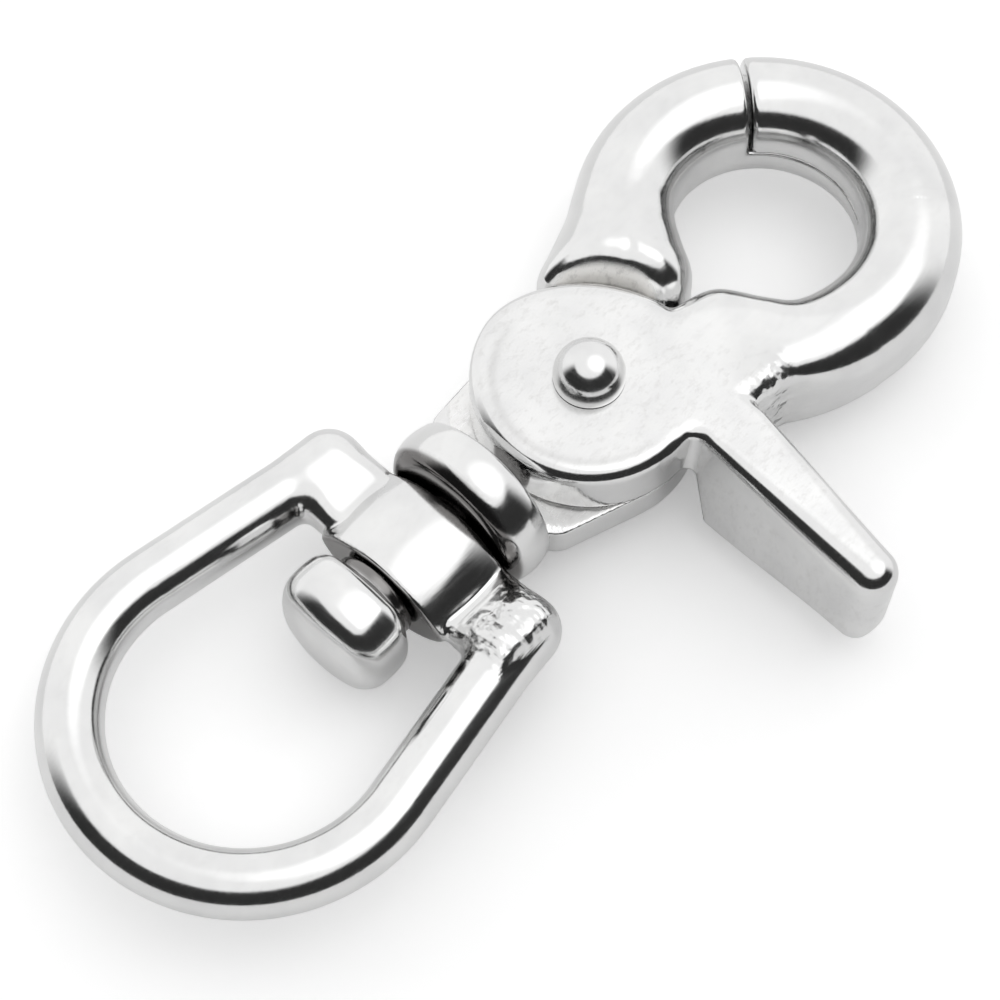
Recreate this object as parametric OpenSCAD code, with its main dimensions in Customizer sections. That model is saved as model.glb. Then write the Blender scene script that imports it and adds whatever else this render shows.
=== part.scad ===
// Swivel eye scissor snap hook, for a lead or line of about 25 mm.
// X runs along the hook from the eye to the jaws, Z is up through the pivot.
// The origin is the centre of the eye's round end, on the swivel axis.
// The two jaws meet in a half lap at Z = 0.

/* [Eye] */
// Radius of the eye's round end, to the middle of the bar
eye_r = 16.5; // [14:0.5:18]
// Diameter of the eye's bar
eye_bar = 6.4; // [5:0.2:6.6]
// Angle at which each leg runs in towards the crossbar
leg_lean = 9.9; // [6:0.1:12]
// Length of the bored boss along the swivel axis
boss_length = 9.2; // [8:0.2:9.4]
// Half width of the boss across the eye
boss_half_width = 10.6; // [9:0.2:11]
// Half height of the boss
boss_half_height = 5.0; // [4.6:0.2:5.6]

/* [Swivel pin] */
// Diameter of the pin's shank
pin_d = 6.0; // [5:0.5:6.5]
// Width of the pin's rounded square head
head_width = 12.8; // [11:0.2:13]
// Length of the head along the swivel axis
head_length = 7.0; // [5.6:0.2:7.4]

/* [Jaws] */
// Radius of the hook opening's ring, to the middle of the bar
ring_r = 14.4; // [13.8:0.1:15]
// Width of the jaw's bar, seen from above
bar_width = 10.1; // [9:0.1:11]
// Full height of the jaw's bar
bar_height = 12.2; // [12:0.1:12.6]
// Radius of the round plate on the pivot
plate_r = 10.95; // [10.6:0.05:11.1]
// Height of the moving jaw's plate above the half lap
plate_top = 6.0; // [5:0.1:6]
// Angle round the ring, from +X, at which the two jaws meet at the tip
tip_angle = 50; // [40:1:60]
// Angle round the ring at which the tongue under the moving jaw ends
tongue_angle = -48; // [-60:1:-30]
// Largest radius of the collar
collar_r = 8.7; // [8:0.1:9]

/* [Pivot] */
// Diameter of the rivet
rivet_d = 6.0; // [5:0.5:6.5]
// Diameter of the rivet's ball-shaped head
ball_d = 7.0; // [6.8:0.1:7.6]
// Diameter of the spring wire
spring_wire = 1.0; // [0.8:0.1:1.1]
// Number of turns of the spring
spring_turns = 2.5; // [1.5:1:2.5]

/* [Hidden] */

$fn = 64;
blend_fn = 32;
running_gap = 0.05;
lap_gap = 0.1;
steel = [0.78, 0.79, 0.81];
dark_steel = [0.6, 0.61, 0.64];

// Places along the swivel axis
corner_r = 3.3;
corner = [23.1, 12.7];
boss_start = 17.0;
boss_end = boss_start + boss_length;
boss_crown = 24.8;
head_start = 8.3;
head_end = head_start + head_length;
collar_start = boss_end + 0.3;
collar_end = 31.9;
pin_end = 32.6;

collar_round = 5.8;
collar_mid = 29.35;
collar_face_r = 7.4;

// The hook ring, the pivot and the heights of the half lap
ring = [71.5, -0.6];
pivot = [44.6, -1.1];
stretch = (bar_height - bar_width) / 2;
plate_bottom = -6;
upper_clear_r = plate_r + 2.35;
lower_clear_r = plate_r + 1.5;
rivet_r = rivet_d / 2;
pin_r = pin_d / 2;

// The spring and its pocket, shared by the two plates
pocket_r = 6.2;
pocket_floor = -2.0;
pocket_roof = 2.1;
coil_r = 4.9;
coil_pitch = spring_wire + 0.12;
coil_start = -1.4;
leg_hole = 0.6;
leg_reach = 2.6;
jaw_travel = 32;

function on_ring(angle) = ring + ring_r * [cos(angle), sin(angle)];

// Turns a shape so that its own Z runs along the swivel axis
module along_x(x) {
    translate([x, 0, 0])
        rotate([0, 90, 0])
            children();
}

// Upright oval section of the jaw's bar: two rounds with a short straight side
module bar_section() {
    for (side = [-1, 1])
        translate([0, side * stretch])
            circle(d = bar_width);
    square([bar_width, 2 * stretch], center = true);
}

// Sweeps a shape round the hook opening between two angles, counted from +X
module round_ring(from, to) {
    translate(ring)
        rotate([0, 0, from])
            rotate_extrude(angle = to - from, $fn = 96)
                translate([ring_r, 0])
                    children();
}

// Round post with rounded ends, a corner of the blends
module post(at, r, edge, half = bar_height / 2) {
    for (side = [-1, 1])
        translate([at[0], at[1], side * (half - edge)])
            rotate_extrude($fn = blend_fn)
                intersection() {
                    translate([r - edge, 0])
                        circle(r = edge, $fn = blend_fn);
                    translate([0, -edge])
                        square([r, 2 * edge]);
                }
}

// Ball used as a corner of the blends
module ball(at, r) {
    translate(at)
        sphere(r = r, $fn = blend_fn);
}

// One of the two crowned barrels that overlap to make the boss
module boss_barrel(side) {
    lift = (pow(boss_half_width, 2) - pow(boss_half_height, 2)) / (2 * boss_half_height);
    reach = boss_half_height + lift;
    translate([0, 0, -side * lift])
        along_x((boss_start + boss_end) / 2)
            rotate_extrude($fn = 128)
                intersection() {
                    translate([0, -boss_length / 2])
                        square([reach, boss_length]);
                    translate([reach - boss_crown, 0])
                        circle(r = boss_crown, $fn = 128);
                }
}

// Straight leg, a hair thicker than the round end that it runs into
module eye_leg() {
    start = eye_r * [sin(leg_lean), cos(leg_lean)];
    translate(start)
        rotate([0, 90, -leg_lean])
            translate([0, 0, -0.4])
                cylinder(d = eye_bar + 0.04, h = norm(corner - start) + 0.4);
}

// Wide bar between the legs, a little lower in the middle than at its corners
module crossbar() {
    hull()
        for (side = [-1, 1]) {
            ball([corner[0], side * corner[1], 0], corner_r);
            ball([corner[0] - 2.5, side * (corner[1] - 0.2), 0], corner_r - 0.05);
            ball([corner[0] + 0.4, side * 7, 0], corner_r - 0.5);
            ball([corner[0] - 2.9, side * 7, 0], corner_r - 0.5);
        }
}

module swivel_eye() {
    color(steel)
    difference() {
        union() {
            rotate([0, 0, 90 - leg_lean])
                rotate_extrude(angle = 180 + 2 * leg_lean)
                    translate([eye_r, 0])
                        circle(d = eye_bar);
            for (side = [0, 1])
                mirror([0, side, 0])
                    eye_leg();
            crossbar();
            intersection() {
                boss_barrel(1);
                boss_barrel(-1);
            }
        }
        along_x(boss_start - 1)
            cylinder(r = pin_r + running_gap, h = boss_length + 2);
    }
}

// Crowned disc that swells one face of the pin's head
module crown(radius, width) {
    translate([0, 0, -radius])
        rotate_extrude($fn = blend_fn)
            intersection() {
                circle(r = radius, $fn = 160);
                translate([0, radius - 1])
                    square([width / 2, 1]);
            }
}

// Rounded square head with crowned faces
module pin_head() {
    half = head_width / 2;
    mid = head_start + head_length / 2 + 0.4;
    hull() {
        for (y = [-1, 1], z = [-1, 1]) {
            ball([head_start + 3.1, y * (half - 2.5), z * (half - 2.45)], 2);
            ball([head_end - 1.5, y * (half - 2.2), z * (half - 2.15)], 1.5);
        }
        for (a = [0, 90, 180, 270])
            rotate([a, 0, 0])
                translate([mid, 0, half])
                    crown(22, 3.6);
        translate([head_start, 0, 0])
            rotate([0, -90, 0])
                crown(16, 9.4);
    }
}

module swivel_pin() {
    color(steel)
    union() {
        pin_head();
        along_x(head_end - 1)
            cylinder(r = pin_r + 1.5, h = boss_start - 0.25 - head_end + 1);
        along_x(head_end - 1)
            cylinder(r = pin_r, h = pin_end - head_end + 1);
    }
}

// Round flange with a crowned rim, bevelled at the boss end
module collar() {
    along_x(0)
        rotate_extrude($fn = 128)
            intersection() {
                translate([collar_r - collar_round, collar_mid])
                    circle(r = collar_round, $fn = 128);
                polygon([
                    [0, collar_start],
                    [collar_face_r, collar_start],
                    [collar_face_r + 3, collar_start + 2.4],
                    [collar_r + 1, collar_end - 1.2],
                    [collar_r - 0.9, collar_end - 0.2],
                    [collar_r - 1.1, collar_end],
                    [0, collar_end]
                ]);
            }
}

// Neck and the plate under the moving jaw, with a rounded lower edge
module neck_and_plate() {
    hull() {
        for (y = [-6.1, 6.1])
            translate([34.7, y, 0]) {
                ball([0, 0, plate_bottom + 3], 3);
                translate([0, 0, plate_bottom + 3])
                    cylinder(r = 3, h = -plate_bottom - 3, $fn = blend_fn);
            }
        translate(pivot) {
            translate([0, 0, plate_bottom + 3])
                rotate_extrude($fn = 64)
                    intersection() {
                        translate([plate_r - 3, 0])
                            circle(r = 3, $fn = blend_fn);
                        translate([0, -3])
                            square([plate_r, 3]);
                    }
            translate([0, 0, plate_bottom + 3])
                cylinder(r = plate_r, h = -plate_bottom - 3, $fn = 64);
        }
    }
}

module fixed_arm_root() {
    hull() {
        post(on_ring(131), bar_width / 2, bar_width / 2);
        post([54.4, 5.4], 7.0, 4.8, 6.9);
        post([58.2, 4.7], 5.4, 5.05, 6.9);
    }
}

// Room over the lower plate for the moving jaw's plate
module over_plate(r) {
    translate(pivot)
        cylinder(r = r, h = 20, $fn = 96);
}

module fixed_jaw() {
    color(steel)
    difference() {
        union() {
            collar();
            neck_and_plate();
            difference() {
                fixed_arm_root();
                over_plate(upper_clear_r);
            }
            difference() {
                round_ring(tongue_angle, 131)
                    bar_section();
                // only the lower half goes on past the tip
                round_ring(tongue_angle - 10, tip_angle + 1)
                    translate([-10, 0])
                        square([20, 10]);
            }
        }
        along_x(collar_start - 1)
            cylinder(r = pin_r, h = pin_end - collar_start + 1);
        translate(pivot) {
            translate([0, 0, -20])
                cylinder(r = rivet_r, h = 40);
            translate([0, 0, pocket_floor])
                cylinder(r = pocket_r, h = 10);
            translate([coil_r, 0, pocket_floor - leg_reach])
                cylinder(r = leg_hole, h = leg_reach + 1);
        }
    }
}

module moving_arm_root() {
    hull() {
        post([57, -9.5], 7.3, 4, plate_top);
        post([57.8, -6.6], 5.4, 5.05, plate_top);
        post([65.6, -15.4], 4.2, 4.2, 5.6);
    }
    hull() {
        post([65.6, -15.4], 4.2, 4.2, 5.6);
        post([72.0, -15.7], 4.2, 4.2, 5.5);
    }
}

// Flat top that carries the round plate over into the arm and the trigger
module root_bridge() {
    hull() {
        post([48.5, -6.2], 5.8, 0.9, plate_top);
        post([56.6, -9.0], 5.6, 3.6, plate_top);
    }
}

// Rounds off the crook between the round plate and the trigger
module crook_fillet() {
    r = 1.3;
    reach = plate_r + r;
    dx = 46.75 - r - pivot[0];
    at = [pivot[0] + dx, pivot[1] - sqrt(pow(reach, 2) - pow(dx, 2))];
    touch = pivot + (at - pivot) * plate_r / reach;
    translate([0, 0, lap_gap])
        linear_extrude(plate_top - lap_gap - 0.4)
            difference() {
                polygon([touch, [at[0] + r + 0.2, at[1]], [at[0] + r + 0.6, touch[1] + 0.6], touch + [0.1, 0.3]]);
                translate(at)
                    circle(r = r);
            }
}

// Thumb trigger, deep at the root and tapering to a rounded tip
module trigger() {
    hull() {
        ball([47.7, -10.5, plate_top - 0.9], 0.9);
        ball([52.6, -12.2, plate_top - 0.9], 0.9);
        ball([46.9, -15.5, -4.9], 1.6);
        ball([51.6, -15.5, -4.9], 1.6);
        ball([46.7, -10.5, -1.5], 0.5);
        ball([53.4, -11.5, -1.5], 0.9);
        ball([47.9, -33.3, plate_top - 2.5], 2.5);
        ball([47.3, -33.3, -3.7], 2.5);
    }
}

module moving_plate_section() {
    edge = 0.8;
    translate([0, lap_gap]) {
        square([plate_r - edge, plate_top - lap_gap]);
        square([plate_r, plate_top - lap_gap - edge]);
    }
    translate([plate_r - edge, plate_top - edge])
        circle(r = edge);
}

module moving_jaw() {
    color(steel)
    difference() {
        union() {
            translate(pivot)
                rotate_extrude($fn = 128)
                    moving_plate_section();
            difference() {
                union() {
                    moving_arm_root();
                    root_bridge();
                    trigger();
                }
                // the fixed jaw's plate passes under, inside a tapered round
                translate([pivot[0], pivot[1], lap_gap - 10])
                    cylinder(r1 = lower_clear_r + 4.2, r2 = lower_clear_r, h = 10, $fn = 96);
            }
            crook_fillet();
            difference() {
                round_ring(-150, tip_angle - 0.6)
                    bar_section();
                // only the upper half goes on over the tongue
                round_ring(tongue_angle - 2, tip_angle + 10)
                    translate([-10, lap_gap - 10])
                        square([20, 10]);
            }
        }
        translate(pivot) {
            cylinder(r = rivet_r + running_gap, h = 20);
            translate([0, 0, -1])
                cylinder(r = pocket_r, h = pocket_roof + 1);
            // slot for the spring's upper leg, long enough for the jaw's travel
            translate([0, 0, pocket_roof - 1])
                rotate([0, 0, 360 * spring_turns - 6])
                    rotate_extrude(angle = jaw_travel + 12)
                        translate([coil_r - leg_hole, 0])
                            square([2 * leg_hole, leg_reach]);
        }
    }
}

module pivot_rivet() {
    head_z = plate_top + 0.6;
    foot_h = 1.4;
    foot_r = 3.6;
    foot_round = (pow(foot_r, 2) + pow(foot_h, 2)) / (2 * foot_h);
    color(steel)
    translate(pivot) {
        translate([0, 0, plate_bottom])
            cylinder(r = rivet_r, h = head_z - plate_bottom);
        intersection() {
            translate([0, 0, head_z])
                sphere(d = ball_d);
            translate([0, 0, plate_top + lap_gap])
                cylinder(r = ball_d, h = ball_d);
        }
        intersection() {
            translate([0, 0, plate_bottom - foot_h + foot_round])
                sphere(r = foot_round);
            translate([0, 0, plate_bottom - foot_h])
                cylinder(r = foot_r, h = foot_h);
        }
    }
}

// Wire coil from angle 0, and its two legs parallel to the rivet
module torsion_spring() {
    sides = 8;
    per_turn = 24;
    steps = per_turn * spring_turns;
    wire_r = spring_wire / 2;
    points = [
        for (i = [0:steps], j = [0:sides - 1])
            let (a = i * 360 / per_turn, b = j * 360 / sides, r = coil_r + wire_r * cos(b))
                [r * cos(a), r * sin(a), i * coil_pitch / per_turn + wire_r * sin(b)]
    ];
    skin = [
        for (i = [0:steps - 1], j = [0:sides - 1])
            let (k = (j + 1) % sides)
                [i * sides + j, i * sides + k, (i + 1) * sides + k, (i + 1) * sides + j]
    ];
    ends = [[for (j = [sides - 1:-1:0]) j], [for (j = [0:sides - 1]) steps * sides + j]];
    color(dark_steel)
    translate([pivot[0], pivot[1], coil_start]) {
        polyhedron(points = points, faces = concat(skin, ends), convexity = 6);
        translate([coil_r, 0, -leg_reach])
            cylinder(r = wire_r - 0.02, h = leg_reach);
        rotate([0, 0, 360 * spring_turns])
            translate([coil_r, 0, spring_turns * coil_pitch])
                cylinder(r = wire_r - 0.02, h = leg_reach - 0.4);
    }
}

fixed_jaw();
swivel_pin();
swivel_eye();
moving_jaw();
pivot_rivet();
torsion_spring();
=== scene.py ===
import math

import bpy
import numpy as np
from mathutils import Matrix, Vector

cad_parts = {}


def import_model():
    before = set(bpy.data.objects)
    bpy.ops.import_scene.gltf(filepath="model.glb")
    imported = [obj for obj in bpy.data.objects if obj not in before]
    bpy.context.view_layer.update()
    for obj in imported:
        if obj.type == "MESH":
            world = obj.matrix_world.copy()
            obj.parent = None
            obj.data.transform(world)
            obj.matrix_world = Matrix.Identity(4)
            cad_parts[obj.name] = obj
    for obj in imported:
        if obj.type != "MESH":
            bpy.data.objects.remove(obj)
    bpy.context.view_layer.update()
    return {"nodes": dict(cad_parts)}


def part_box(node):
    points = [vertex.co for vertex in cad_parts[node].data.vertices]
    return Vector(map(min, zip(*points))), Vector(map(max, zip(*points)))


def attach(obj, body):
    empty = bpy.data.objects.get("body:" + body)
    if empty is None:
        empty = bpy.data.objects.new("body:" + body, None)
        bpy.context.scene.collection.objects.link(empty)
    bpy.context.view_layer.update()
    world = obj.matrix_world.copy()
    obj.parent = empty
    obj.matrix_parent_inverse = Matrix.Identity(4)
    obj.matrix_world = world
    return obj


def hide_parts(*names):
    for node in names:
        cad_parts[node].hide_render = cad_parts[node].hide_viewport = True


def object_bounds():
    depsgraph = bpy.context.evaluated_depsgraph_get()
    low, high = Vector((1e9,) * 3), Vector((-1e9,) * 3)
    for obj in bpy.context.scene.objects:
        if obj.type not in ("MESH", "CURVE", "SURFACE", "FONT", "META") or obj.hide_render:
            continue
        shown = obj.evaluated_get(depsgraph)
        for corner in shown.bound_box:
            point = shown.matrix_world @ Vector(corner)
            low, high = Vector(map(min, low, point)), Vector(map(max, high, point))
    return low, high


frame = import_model()
low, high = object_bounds()

# Sizes in millimetres and angles in degrees, most of them as in the part's source
PIVOT = (44.6, -1.1)
RING, RING_R = (71.5, -0.6), 14.4  # centre line of the hook's round
BAR_R, BAR_HALF = 5.05, 6.1  # its bar, half as wide and half as high
PLATE_R, PLATE_TOP = 10.95, 6.0
DISC_SHIFT, DISC_MORE = (0.33, 0.3), 0.45  # the moving plate's rim against the fixed one's
LAP_GAP = 0.1
TIP_ANGLE, TONGUE_ANGLE = 50.0, -48.0
ROOT_ANGLE = 131  # where the left arm's root meets the round
FOOT, HEEL = (54.4, 5.4, 7.0), (58.2, 4.7, 5.4)  # circles (x, y, radius) of that root
EYE_R, EYE_BAR, LEAN = 16.5, 3.2, math.radians(9.9)
CORNER, BOSS = (23.1, 12.7), (17.0, 26.2)
BORE_R = 3.05
SHANK_R, RIVET_R, RIVET_BORE_R = 2.99, 3.0, 3.05
POCKET_R, LEG_R, WIRE_HOLE_R = 6.2, 4.9, 0.6  # room for the spring
PIN_STEP, STEP = 0.22, 0.27  # grid steps of the skins

# The side of the object that the camera and the dark of the room are on
NEAR_SIDE = (-0.73, -0.68)

# Colours
STEEL, BRIGHT_STEEL = (0.70, 0.70, 0.70, 1), (0.78, 0.78, 0.775, 1)
# the first is painted light: a far lighter steel that makes the shaded hollow round the moving
# plate look lit
PAINTED_LIGHT_CUT_STEEL, SCUFFED_STEEL = (0.94, 0.93, 0.91, 1), (0.52, 0.51, 0.50, 1)
# painted shade: a near-black steel for the gaps by the eye's boss, the pin's shank and the
# collar's end, also used faintly for a tool line on the moving plate
SHADE_AND_TOOL_LINE_STEEL = (0.10, 0.092, 0.088, 1)
WIRE, BRIGHT_WIRE = (0.42, 0.42, 0.44, 1), (0.56, 0.56, 0.58, 1)
PAPER, PALE_PAPER = (0.86, 0.86, 0.86, 1), (0.88, 0.88, 0.88, 1)
WHITE = (1, 1, 1, 1)


# ----------------------------------------------------------- distance fields
# Each field takes arrays x, y, z in millimetres and gives the distance to a
# piece's surface, negative inside it.


def ramp(v, lo, hi):
    t = np.clip((v - lo) / (hi - lo), 0.0, 1.0)
    return t * t * (3 - 2 * t)


def lerp(a, b, t):
    return a + (b - a) * t


def join(a, b, k):
    """Union with a soft inner corner."""
    h = np.maximum(k - np.abs(a - b), 0.0) / k
    return np.minimum(a, b) - h * h * k * 0.25


def common(a, b, k):
    """Intersection with a soft outer edge."""
    return -join(-a, -b, k)


def near_pivot(x, y):
    return np.hypot(x - PIVOT[0], y - PIVOT[1])


def on_ring(angle):
    a = math.radians(angle)
    return RING[0] + RING_R * math.cos(a), RING[1] + RING_R * math.sin(a)


def ahead(x, y, angle):
    """Distance ahead of, and along, a ray from the hook's centre."""
    a = math.radians(angle)
    dx, dy = x - RING[0], y - RING[1]
    return dy * math.cos(a) - dx * math.sin(a), dx * math.cos(a) + dy * math.sin(a)


def ring_flat(x, y, start, end):
    """Flat outline of the hook's bar between two angles, round at both ends."""
    mid, half = math.radians((start + end) / 2), math.radians((end - start) / 2)
    a = np.arctan2(y - RING[1], x - RING[0]) - mid
    a = np.clip(np.mod(a + math.pi, 2 * math.pi) - math.pi, -half, half) + mid
    return np.hypot(x - RING[0] - RING_R * np.cos(a), y - RING[1] - RING_R * np.sin(a)) - BAR_R


def taper(x, y, a, b):
    """Flat outline of two circles (x, y, radius) and the sides between them."""
    length = math.hypot(b[0] - a[0], b[1] - a[1])
    ux, uy = (b[0] - a[0]) / length, (b[1] - a[1]) / length
    across = np.abs((x - a[0]) * uy - (y - a[1]) * ux)
    along = (x - a[0]) * ux + (y - a[1]) * uy
    s = (a[2] - b[2]) / length
    c = math.sqrt(1 - s * s)
    k = along * c - across * s
    side = across * c + along * s - a[2]
    side = np.where(k < 0, np.hypot(across, along) - a[2], side)
    return np.where(k > c * length, np.hypot(across, along - length) - b[2], side)


def outline(x, y, corners):
    """Distance to a convex flat outline whose corners run anticlockwise."""
    d = np.full(np.shape(x), -1e9)
    for (x0, y0), (x1, y1) in zip(corners, corners[1:] + corners[:1]):
        length = math.hypot(x1 - x0, y1 - y0)
        d = np.maximum(d, ((x - x0) * (y1 - y0) - (y - y0) * (x1 - x0)) / length)
    return d


def slab(flat, z, half, edge):
    """A flat outline made into a plate with rounded edges."""
    wx, wz = flat + edge, np.abs(z) - (half - edge)
    outside = np.hypot(np.maximum(wx, 0), np.maximum(wz, 0))
    return np.minimum(np.maximum(wx, wz), 0) + outside - edge


def swivel_eye(x, y, z):
    ay = np.abs(y)
    a = np.minimum(np.arctan2(ay, -x), math.pi / 2 + LEAN)
    bend = np.hypot(np.hypot(x + EYE_R * np.cos(a), ay - EYE_R * np.sin(a)), z) - EYE_BAR
    sx, sy = EYE_R * math.sin(LEAN), EYE_R * math.cos(LEAN)
    ux, uy = math.cos(LEAN), -math.sin(LEAN)
    length = math.hypot(CORNER[0] - sx, CORNER[1] - sy)
    t = np.clip((x - sx) * ux + (ay - sy) * uy, 0, length)
    leg = np.hypot(np.hypot(x - sx - ux * t, ay - sy - uy * t), z) - EYE_BAR - 0.02
    d = np.minimum(bend, leg)
    # bar between the legs, a little lower in the middle than at its corners
    r = lerp(np.where(y < 0, 1.5, 2.3), 3.3, ramp(ay, 7.2, 12.3))
    qx = np.maximum(np.abs(x - 21.95) - (4.45 - r), 0)
    bar = np.hypot(np.hypot(qx, np.maximum(ay - CORNER[1], 0)), z) - r
    d = join(d, bar, 1.0)
    # crowned boss, the overlap of two barrels
    lift = (8.6 ** 2 - 25) / 10
    mid = (BOSS[0] + BOSS[1]) / 2
    reach = 5.0 + lift - 24.8 + np.sqrt(np.maximum(24.8 ** 2 - (x - mid) ** 2, 0))
    lens = common(np.hypot(y, z + lift) - reach, np.hypot(y, z - lift) - reach, 0.8)
    boss = common(lens, np.abs(x - mid) - (BOSS[1] - BOSS[0]) / 2, 0.45)
    d = join(d, boss, 0.25)
    return common(d, np.minimum(BORE_R - np.hypot(y, z), x - 10), 0.2)


def swivel_pin(x, y, z):
    # rounded square head with crowned faces
    rho2, e = y * y + z * z, 1.5
    swell = 6.4 - 0.05 * (x - 12.4) ** 2
    qx = np.maximum(8.3 + 0.031 * rho2 - x, x - 15.3) + e
    qy = np.abs(y) - swell + 0.048 * z * z + e
    qz = np.abs(z) - swell + 0.048 * y * y + e
    out = np.sqrt(np.maximum(qx, 0) ** 2 + np.maximum(qy, 0) ** 2 + np.maximum(qz, 0) ** 2)
    head = out + np.minimum(np.maximum(qx, np.maximum(qy, qz)), 0) - e
    rho = np.sqrt(rho2)
    shoulder = common(rho - 4.5, np.abs(x - 15.75) - 1.0, 0.4)
    shank = common(rho - SHANK_R, np.abs(x - 23.8) - 8.8, 0.2)
    return np.minimum(join(head, shoulder, 0.5), shank)


def spring_room(x, y, z, side):
    """Spring pocket, rivet bore and leg hole or slot: positive where metal is away."""
    pr = near_pivot(x, y)
    if side < 0:
        hole = np.minimum(WIRE_HOLE_R - np.hypot(x - PIVOT[0] - LEG_R, y - PIVOT[1]), z + 4.6)
        return np.maximum(np.maximum(np.minimum(POCKET_R - pr, z + 2.0), RIVET_R - pr), hole)
    a = np.mod(np.arctan2(y - PIVOT[1], x - PIVOT[0]), 2 * math.pi)
    a = np.clip(a, math.radians(174), math.radians(218))
    q = np.hypot(x - PIVOT[0] - LEG_R * np.cos(a), y - PIVOT[1] - LEG_R * np.sin(a))
    slot = np.minimum(WIRE_HOLE_R - q, 3.7 - z)
    return np.maximum(np.maximum(np.minimum(POCKET_R - pr, 2.1 - z), RIVET_BORE_R - pr), slot)


def hollow_radius(z):
    """Radius of the left arm's hollowed end, which slopes back near the top."""
    return 12.1 + 0.36 * np.clip(z - 3.0, 0.0, 4.5)


def fixed_jaw(x, y, z):
    rho, pr = np.hypot(y, z), near_pivot(x, y)
    # collar with a bevel at the boss end and a crisp ridge at the other
    collar = np.hypot(rho - 2.9, x - 29.35) - 5.8
    collar = np.where(rho < 2.9, np.abs(x - 29.35) - 5.8, collar)
    collar = common(collar, 0.625 * (rho - 7.4) - 0.781 * (x - 26.5), 0.5)
    collar = common(collar, 26.5 - x, 0.4)
    collar = common(collar, 0.466 * (rho - 9.7) + 0.885 * (x - 30.7), 0.15)
    collar = common(collar, x - 31.9, 0.1)
    # neck and lower plate
    flat = outline(x, y, [(31.7, -6.1), (44, -6.1), (44, 6.1), (31.7, 6.1)])
    for side in (-1, 1):
        flat = np.minimum(flat, taper(x, y, (34.7, 6.1 * side, 3.0), PIVOT + (PLATE_R,)))
    plate = common(slab(flat, z, 6.0, 3.0), z, 0.3)
    d = join(collar, plate, 0.3)
    # root of the left arm, and the hook's half of the ring
    top = on_ring(ROOT_ANGLE) + (BAR_R,)
    flat = outline(x, y, [FOOT[:2], HEEL[:2], top[:2]])
    for a, b in ((FOOT, top), (HEEL, top), (FOOT, HEEL)):
        flat = join(flat, taper(x, y, a, b), 0.3)
    flat = join(flat, ring_flat(x, y, TONGUE_ANGLE - 30, ROOT_ANGLE), 0.9)
    t = ramp((x - 56.0) * 0.78 + (y - 5.0) * 0.62, -1.0, 8.5)
    arm = slab(flat, z, lerp(6.9, BAR_HALF, t), lerp(6.2, BAR_R, t))
    past, along = ahead(x, y, TIP_ANGLE + 1)
    arm = common(arm, np.minimum(join(-past, z, 0.2), along), 0.5)
    past, along = ahead(x, y, TONGUE_ANGLE)
    arm = common(arm, np.minimum(-past, along), 0.3)
    # the moving jaw's plate turns inside the arm's hollowed end
    arm = common(arm, join((hollow_radius(z) - pr) * 0.94, z, 0.2), 2.8)
    d = join(d, arm, 0.8)
    return common(d, spring_room(x, y, z, -1), 0.12)


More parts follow.
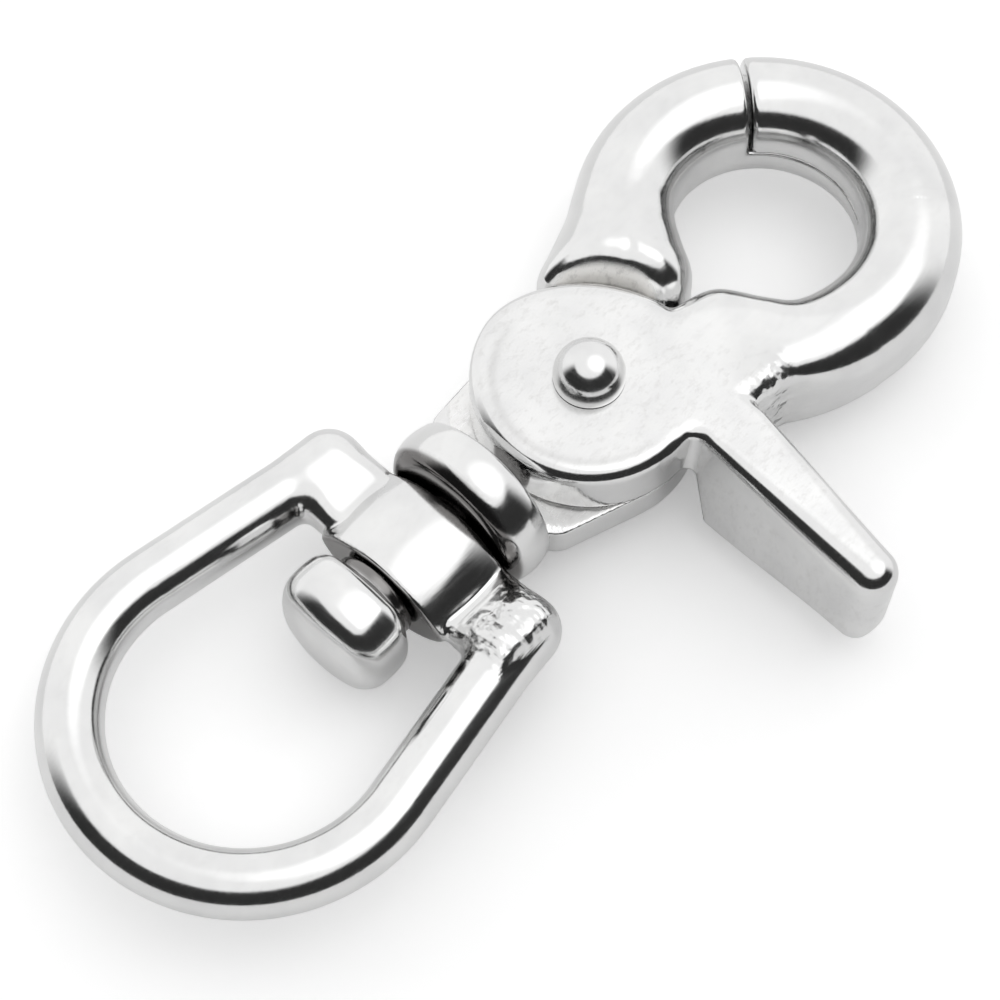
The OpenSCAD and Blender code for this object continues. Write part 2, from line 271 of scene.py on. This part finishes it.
def moving_jaw(x, y, z):
    pr = near_pivot(x, y)
    # root of the right arm: flat-walled by the trigger, round where the ring starts
    a, b, c = (57.0, -9.5, 7.3), (57.8, -6.6, 5.4), (65.6, -15.4, 4.2)
    root = outline(x, y, [a[:2], c[:2], b[:2]])
    for p, q in ((a, b), (b, c), (a, c)):
        root = join(root, taper(x, y, p, q), 0.3)
    # its outer wall runs on along the hook's outer round
    outer = np.hypot(x - RING[0], y - RING[1]) - RING_R - BAR_R
    root = common(root, outer + 0.1, 0.3)
    arm = join(root, ring_flat(x, y, -150, TIP_ANGLE + 20), 0.6)
    bridge = taper(x, y, (48.5, -6.2, 5.8), (56.6, -9.0, 5.6))
    disc = np.hypot(x - PIVOT[0] - DISC_SHIFT[0], y - PIVOT[1] - DISC_SHIFT[1])
    disc = disc - PLATE_R - DISC_MORE
    flat = join(join(disc, bridge, 0.6), arm, 1.2)
    # a low hump beside the fixed jaw's arm, and a dip where the ring begins
    flat = flat - 0.55 * np.exp(-((x - 60.5) ** 2 + (y + 3.8) ** 2) / 6.0)
    flat = flat + 0.4 * np.exp(-((x - 64.8) ** 2 + (y + 9.2) ** 2) / 8.0)
    # thumb trigger, deep and thick at the root
    lean = x + (3.5 - z) * lerp(0.165, 0.083, ramp(-y, 15.5, 33.3))
    thumb = taper(lean, y, (50.3, -11.5, 3.4), (47.9, -33.3, 2.5))
    on_thumb = ramp(flat - thumb, -0.5, 2.5)
    # its edges: crisp on the far side of the plate, worn on the near side, softer at the
    # hump, round where the ring begins, and softer down the trigger
    hump = ramp(y, -8.0, -3.5) * ramp(x, 56, 60.5)
    to_ring = ramp(x + 0.7 * np.maximum(y + 8.0, 0), 54, 69)
    near = (x - PIVOT[0]) * NEAR_SIDE[0] + (y - PIVOT[1]) * NEAR_SIDE[1]
    worn = ramp(near, -0.4 * PLATE_R, 0.4 * PLATE_R)
    edge = lerp(lerp(0.5, 1.0, worn), 1.9, ramp(disc, 0.0, 3.0))
    edge = lerp(lerp(edge, 3.6, hump), BAR_R, to_ring)
    edge = lerp(edge, lerp(0.9, 2.35, np.clip((-11.5 - y) / 21.8, 0, 1)), on_thumb)
    half = lerp(PLATE_TOP, BAR_HALF, to_ring)
    d = slab(join(flat, thumb, 1.5), z, half, edge)
    # turned bevel round the plate, as far as the arm and the trigger leave it free
    bevel = (disc + z - PLATE_TOP) * 0.7071 + lerp(0.15, 0.6, worn)
    clear = np.minimum(4.6 - (x - PIVOT[0]) * 0.95 - (y - PIVOT[1]) * -0.31, 12.5 - pr)
    d = common(d, join(bevel, 0.5 * clear, 0.8), 0.45)
    # the fixed jaw's plate lies below, inside a tapered round
    under = np.minimum(LAP_GAP - z, (12.45 + 0.42 * (LAP_GAP - z) - pr) * 0.922)
    d = common(d, under, 0.3)
    d = common(d, np.minimum(LAP_GAP - z, PLATE_R + 1.0 - pr), 0.25)
    past, along = ahead(x, y, TONGUE_ANGLE - 2)
    d = common(d, join(past, LAP_GAP - z, 0.15), 0.3)
    # the trigger's lower tip is round
    d = common(d, np.hypot(np.minimum(y + 31.8, 0), np.minimum(z + 2.0, 0)) - 4.15, 0.4)
    past, along = ahead(x, y, TIP_ANGLE - 1.1)
    d = common(d, np.minimum(past, along), 0.8)
    return common(d, spring_room(x, y, z, 1), 0.12)


def polygonise(field, low, high, step):
    """Points (mm) and quads on a field's zero level, one point to a cell."""
    axes = [np.arange(a - 1.1 * step, b + 2.1 * step, step) for a, b in zip(low, high)]
    grid = np.meshgrid(*axes, indexing="ij")
    value = field(*grid)
    inside = value < 0
    n = np.array(value.shape)
    corners = [(i, j, k) for i in (0, 1) for j in (0, 1) for k in (0, 1)]
    part = [inside[i:n[0] - 1 + i, j:n[1] - 1 + j, k:n[2] - 1 + k] for i, j, k in corners]
    count = sum(p.astype(np.int8) for p in part)
    cell = np.argwhere((count > 0) & (count < 8))
    index = np.full(n - 1, -1)
    index[tuple(cell.T)] = np.arange(len(cell))
    total, hits = np.zeros((len(cell), 3)), np.zeros(len(cell))
    for p in corners:
        for axis in range(3):
            if p[axis] == 0:
                q = tuple(c + (axis == i) for i, c in enumerate(p))
                va, vb = value[tuple((cell + p).T)], value[tuple((cell + q).T)]
                cross = (va < 0) != (vb < 0)
                t = np.where(cross, va / np.where(cross, va - vb, 1), 0)
                at = np.array(p, float)[None, :] + t[:, None] * np.eye(3)[axis]
                total += at * cross[:, None]
                hits += cross
    points = (cell + total / hits[:, None]) * step + [a[0] for a in axes]
    quads = []
    for axis in range(3):
        u, v = (axis + 1) % 3, (axis + 2) % 3
        lo = [slice(1, n[i] - 1) for i in range(3)]
        lo[axis] = slice(0, n[axis] - 1)
        hi = list(lo)
        hi[axis] = slice(1, n[axis])
        a, b = inside[tuple(lo)], inside[tuple(hi)]
        for mask, turn in ((a & ~b, 1), (b & ~a, -1)):
            at = np.argwhere(mask) + [0 if i == axis else 1 for i in range(3)]
            ring = []
            for du, dv in ((-1, -1), (0, -1), (0, 0), (-1, 0)):
                c = at.copy()
                c[:, u] += du
                c[:, v] += dv
                ring.append(index[tuple(c.T)])
            quads.append(np.stack(ring[::turn], 1))
    quads = np.concatenate(quads)
    # settle the points on the surface
    for _ in range(4):
        d = field(*points.T)
        slope = np.stack([(field(*(points + e).T) - field(*(points - e).T)) / 0.04
                          for e in 0.02 * np.eye(3)], 1)
        pull = d / np.maximum((slope ** 2).sum(1), 0.3)
        points = points - slope * np.clip(pull, -0.3 * step, 0.3 * step)[:, None]
    return points, quads


# ------------------------------------------------------------------- meshes
def new_object(name, points, faces):
    mesh = bpy.data.meshes.new(name)
    mesh.from_pydata([tuple(p) for p in points], [], [tuple(f) for f in faces])
    mesh.update()
    obj = bpy.data.objects.new(name, mesh)
    bpy.context.scene.collection.objects.link(obj)
    return obj


def paint(obj, **masks):
    """Numbers between 0 and 1 at each point, which a material reads by name."""
    for name, values in masks.items():
        layer = obj.data.color_attributes.new(name, "FLOAT_COLOR", "POINT")
        rgba = np.ones((len(values), 4), np.float32)
        rgba[:, :3] = np.clip(values, 0, 1)[:, None]
        layer.data.foreach_set("color", rgba.ravel())


def skin(node, field, step, body):
    """A smooth skin in place of a CAD node, riding on its body."""
    corner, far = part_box(node)
    points, quads = polygonise(field, corner * 1000, far * 1000, step)
    points = np.clip(points, np.array(corner) * 1000, np.array(far) * 1000)
    obj = new_object(node + "_skin", points * 0.001, quads)
    obj.data.polygons.foreach_set("use_smooth", [True] * len(obj.data.polygons))
    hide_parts(node)
    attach(obj, body)
    return obj, points.T


# ---------------------------------------------------------------- materials
class Nodes:
    """A short way to write the node tree of a material or a world."""

    def __init__(self, owner, shader="Principled BSDF", where="Object"):
        owner.use_nodes = True
        self.owner = owner
        self.tree = owner.node_tree
        self.shader = self.tree.nodes[shader]
        self.where = self.add("ShaderNodeTexCoord").outputs[where]

    def add(self, kind, **inputs):
        node = self.tree.nodes.new(kind)
        for key, value in inputs.items():
            self.set(node.inputs[key.replace("_", " ")], value)
        return node

    def set(self, socket, value):
        if isinstance(value, bpy.types.NodeSocket):
            self.tree.links.new(value, socket)
        else:
            socket.default_value = value

    def noise(self, scale, detail=3.0, rough=0.55, stretch=None):
        where = self.where
        if stretch:
            node = self.add("ShaderNodeMapping", Vector=where)
            node.inputs["Scale"].default_value = stretch
            where = node.outputs["Vector"]
        node = self.add("ShaderNodeTexNoise", Vector=where, Scale=scale, Detail=detail)
        node.inputs["Roughness"].default_value = rough
        return node.outputs["Fac"]

    def span(self, value, lo, hi, to_lo, to_hi, smooth=False):
        node = self.add("ShaderNodeMapRange")
        if smooth:
            node.interpolation_type = "SMOOTHSTEP"
        for socket, number in zip(list(node.inputs)[:5], (value, lo, hi, to_lo, to_hi)):
            self.set(socket, number)
        return node.outputs["Result"]

    def math(self, operation, a, b):
        node = self.add("ShaderNodeMath")
        node.operation = operation
        self.set(node.inputs[0], a)
        self.set(node.inputs[1], b)
        return node.outputs[0]

    def mask(self, name):
        node = self.add("ShaderNodeAttribute")
        node.attribute_name = name
        return node.outputs["Fac"]

    def mix(self, fac, a, b):
        node = self.add("ShaderNodeMix")
        node.data_type = "RGBA"
        self.set(node.inputs["Factor"], fac)
        colours = [s for s in node.inputs if s.type == "RGBA"]
        self.set(colours[0], a)
        self.set(colours[1], b)
        return [s for s in node.outputs if s.type == "RGBA"][0]

    def bump(self, height, strength, distance, normal=None):
        node = self.add("ShaderNodeBump", Height=height, Strength=strength, Distance=distance)
        if normal is not None:
            self.set(node.inputs["Normal"], normal)
        return node.outputs["Normal"]

    def towards(self, direction):
        node = self.add("ShaderNodeVectorMath")
        node.operation = "DOT_PRODUCT"
        self.set(node.inputs[0], self.where)
        self.set(node.inputs[1], Vector(direction).normalized())
        return node.outputs["Value"]

    def light_path(self, kind):
        return self.add("ShaderNodeLightPath").outputs[kind]


def new_material(name):
    return Nodes(bpy.data.materials.new(name))


def cast_steel():
    """Cast and polished; rough on its flaws, cut and scuffed on flats, with painted light in the
    hollow round the moving plate, painted shade in gaps and a faint tool line on the plate.
    """
    n = new_material("cast_steel_polished")
    rough, cut, dull = n.mask("rough"), n.mask("cut"), n.mask("dull")
    wave = n.noise(170, 2.0)
    grain = n.noise(1500, 4.0, 0.65)
    pits = n.noise(400, 2.2, 0.6, (1.0, 0.65, 1.0))
    scuff = n.noise(800, 6.0, 0.78, (1.0, 1.7, 1.0))
    hair = n.noise(300, 3.0, 0.6, (1.0, 14.0, 9.0))
    tint = n.mix(n.span(wave, 0.3, 0.7, 0.0, 1.0), STEEL, BRIGHT_STEEL)
    # painted light: where the mask is strong, the hollow round the moving plate is tinted far
    # lighter so the shaded gap looks lit; on the trigger and the plate's face it only adds
    # roughness, grain and scuffs
    tint = n.mix(n.span(cut, 0.3, 1.0, 0.0, 1.0), tint, PAINTED_LIGHT_CUT_STEEL)
    scuffs = n.math("MULTIPLY", n.span(scuff, 0.5, 0.72, 0.0, 1.0),
                    n.span(cut, 0.0, 0.4, 0.12, 0.65))
    tint = n.mix(scuffs, tint, SCUFFED_STEEL)
    # painted shade: the gaps by the eye's boss, the pin head and the collar are coloured
    # near-black; on the moving plate the same mask draws a faint dark tool line
    n.set(n.shader.inputs["Base Color"], n.mix(dull, tint, SHADE_AND_TOOL_LINE_STEEL))
    n.shader.inputs["Metallic"].default_value = 1.0
    gloss = n.span(hair, 0.3, 0.75, 0.10, 0.18)
    gloss = n.math("ADD", gloss, n.math("MULTIPLY", rough, 0.08))
    gloss = n.math("ADD", gloss, n.math("MULTIPLY", cut, 0.30))
    n.set(n.shader.inputs["Roughness"], gloss)
    normal = n.bump(wave, 0.3, 0.00008)
    normal = n.bump(hair, 0.25, 0.00001, normal)
    grain = n.math("MULTIPLY", grain, n.span(cut, 0, 1, 0.05, 1.0))
    normal = n.bump(grain, 0.5, 0.00002, normal)
    normal = n.bump(n.math("MULTIPLY", pits, rough), 1.0, 0.0011, normal)
    n.set(n.shader.inputs["Normal"], normal)
    return n.owner


def turned_steel():
    n = new_material("pin_steel_polished")
    wave = n.noise(260, 2.0)
    hair = n.noise(420, 3.0, 0.6, (12.0, 1.0, 1.0))
    tint = n.mix(n.span(wave, 0.3, 0.7, 0, 1), STEEL, BRIGHT_STEEL)
    # painted shade: from the middle of its shoulder on, where the pin runs into the eye's bore,
    # the steel is coloured near-black
    n.set(n.shader.inputs["Base Color"], n.mix(n.mask("dull"), tint, SHADE_AND_TOOL_LINE_STEEL))
    n.shader.inputs["Metallic"].default_value = 1.0
    n.set(n.shader.inputs["Roughness"], n.span(hair, 0.3, 0.75, 0.11, 0.22))
    normal = n.bump(wave, 0.3, 0.00008)
    normal = n.bump(hair, 0.2, 0.00001, normal)
    n.set(n.shader.inputs["Normal"], normal)
    return n.owner


def drawn_steel():
    n = new_material("spring_steel_drawn")
    hair = n.noise(900, 3.0, 0.6, (1.0, 1.0, 6.0))
    n.set(n.shader.inputs["Base Color"], n.mix(hair, WIRE, BRIGHT_WIRE))
    n.shader.inputs["Metallic"].default_value = 1.0
    n.set(n.shader.inputs["Roughness"], n.span(hair, 0.3, 0.75, 0.24, 0.38))
    n.set(n.shader.inputs["Normal"], n.bump(hair, 0.3, 0.00001))
    return n.owner


CAST, TURNED, DRAWN = cast_steel(), turned_steel(), drawn_steel()


def wear(obj, material):
    obj.data.materials.clear()
    obj.data.materials.append(material)
    return obj


# ------------------------------------------------------------------- pieces
def eye_skin():
    eye, (x, y, z) = skin("swivel_eye", swivel_eye, STEP, "eye")
    # one corner keeps its casting flaws
    flaws = ramp(-y, 8.2, 10.2) * ramp(x, 16.5, 19) * ramp(-y, 15.5, 14.0)
    ends = np.maximum(ramp(x, 25.7, 26.1), ramp(17.3 - x, 0, 0.3) * ramp(x, 14.0, 15.0))
    # painted shade on the boss's end faces round the bore, in the gaps by the pin head and the
    # collar
    paint(eye, rough=flaws, dull=0.8 * ramp(8.6 - np.hypot(y, z), 0, 0.8) * ends)
    wear(eye, CAST)


def pin_skin():
    pin, (x, y, z) = skin("swivel_pin", swivel_pin, PIN_STEP, "body")
    # painted shade from the middle of the shoulder on, where the pin runs into the eye
    paint(pin, dull=0.8 * ramp(x, 15.2, 15.8))
    wear(pin, TURNED)


def fixed_skin():
    fixed, (x, y, z) = skin("fixed_jaw", fixed_jaw, STEP, "body")
    pr = near_pivot(x, y)
    # the arm's hollowed end round the moving plate, and half as much the lap face at its foot, get
    # painted light: a far lighter colour as if lit in the gap
    hollow = ramp(hollow_radius(z) + 0.45 - pr, 0, 0.3) * ramp(pr, 11.5, 11.8) * ramp(z, 0.0, 0.3)
    lap = ramp(z, -0.12, -0.02) * ramp(0.3 - z, 0, 0.1) * ramp(13.6 - pr, 0, 0.3)
    # painted shade on the collar's end by the eye's boss
    paint(fixed, rough=0.1 * lap, cut=np.maximum(hollow, 0.5 * lap) * ramp(x, 33, 34),
          dull=0.85 * ramp(27.8 - x, 0, 0.5))
    wear(fixed, CAST)


def moving_skin():
    moving, (x, y, z) = skin("moving_jaw", moving_jaw, STEP, "jaw")
    pr = near_pivot(x, y)
    # flaws where the arm ends beside the trigger, and a little down its wall
    end = np.exp(-((x - 56.5) ** 2 + (y + 13.3) ** 2) / 5.0)
    wall = ramp(x, 55, 57) * ramp(x, 72, 62) * ramp(-y, 12, 13.5) * ramp(3.5 - z, 0, 2)
    thumb = ramp(-y, 12, 16) * ramp(3.4 - z, 0, 1.5) * ramp(49.0 - x, 0, 1.5)
    face = ramp(z, 5.85, 5.97) * ramp(60.0 - x, 0, 8.0)
    # a faint dark tool line round the plate's face, on the side away from the hook
    line = np.exp(-((pr - 9.2) / 0.45) ** 2) * ramp(PIVOT[0] - x, -1, 5)
    paint(moving, rough=np.maximum(end, 0.16 * wall), cut=0.25 * thumb + 0.25 * face,
          dull=0.14 * line * face)
    wear(moving, CAST)


eye_skin()
pin_skin()
fixed_skin()
moving_skin()
wear(frame["nodes"]["pivot_rivet"], TURNED)
wear(frame["nodes"]["torsion_spring"], DRAWN)


# -------------------------------------------------------------------- stage
def stage_material():
    """White paper, a little brighter to the camera and in reflections than its light makes it."""
    n = new_material("white_paper")
    n.set(n.shader.inputs["Base Color"], n.mix(n.noise(60, 2.0), PAPER, PALE_PAPER))
    n.shader.inputs["Roughness"].default_value = 0.9
    n.shader.inputs["Specular IOR Level"].default_value = 0.1
    n.set(n.shader.inputs["Normal"], n.bump(n.noise(900, 3.0), 0.1, 0.00005))
    n.shader.inputs["Emission Color"].default_value = WHITE
    seen = n.math("MULTIPLY", n.light_path("Is Camera Ray"), 0.28)
    reflected = n.math("MULTIPLY", n.light_path("Is Glossy Ray"), 0.08)
    n.set(n.shader.inputs["Emission Strength"], n.math("ADD", seen, reflected))
    return n.owner


def floor():
    half = 1.2
    z = low.z - 0.0001
    cx, cy = (low.x + high.x) / 2, (low.y + high.y) / 2
    obj = new_object("floor", [(cx + sx * half, cy + sy * half, z)
                               for sx, sy in ((-1, -1), (1, -1), (1, 1), (-1, 1))], [(0, 1, 2, 3)])
    obj.data.materials.append(stage_material())


def world():
    """A pale room: white overhead and behind, dark low down on the near side."""
    room = bpy.data.worlds.new("room")
    bpy.context.scene.world = room
    n = Nodes(room, "Background", "Generated")
    near = n.span(n.towards(NEAR_SIDE + (0.0,)), -0.35, 0.25, 0.0, 1.0, smooth=True)
    low_down = n.span(n.towards((0.0, 0.0, 1.0)), 0.65, 0.76, 1.0, 0.0, smooth=True)
    dark = n.math("MULTIPLY", near, low_down)
    soft_box = n.span(n.towards((0.28, -0.2, 0.93)), 0.84, 1.0, 0.0, 0.6, smooth=True)
    light = n.math("MULTIPLY", n.math("ADD", soft_box, 1.12),
                   n.span(dark, 0.0, 1.0, 1.0, 0.03, smooth=True))
    # the camera itself sees plain white: light + seen * (1 - light)
    seen = n.light_path("Is Camera Ray")
    short = n.math("MULTIPLY", seen, n.math("SUBTRACT", 1.0, light))
    n.set(n.shader.inputs["Strength"], n.math("ADD", light, short))
    n.shader.inputs["Color"].default_value = WHITE


def camera():
    """The photograph's viewing angle, distance (m) and focal length (2816 pixels of 1000)."""
    azimuth, elevation, away = math.radians(-46.97), math.radians(62.83), 0.26734
    across = math.cos(elevation)
    back = Vector((math.sin(azimuth) * across, -math.cos(azimuth) * across, math.sin(elevation)))
    target = Vector((0.03152, -0.00177, 0.0))
    data = bpy.data.cameras.new("camera")
    data.lens, data.sensor_width = 2816.13 / 1000 * 36, 36
    data.clip_start, data.clip_end = 0.01, 20
    obj = bpy.data.objects.new("camera", data)
    bpy.context.scene.collection.objects.link(obj)
    obj.location = target + back * away
    obj.rotation_euler = back.to_track_quat("Z", "Y").to_euler()
    bpy.context.scene.camera = obj


floor()
world()
camera()
bpy.context.scene.view_settings.view_transform = "Standard"
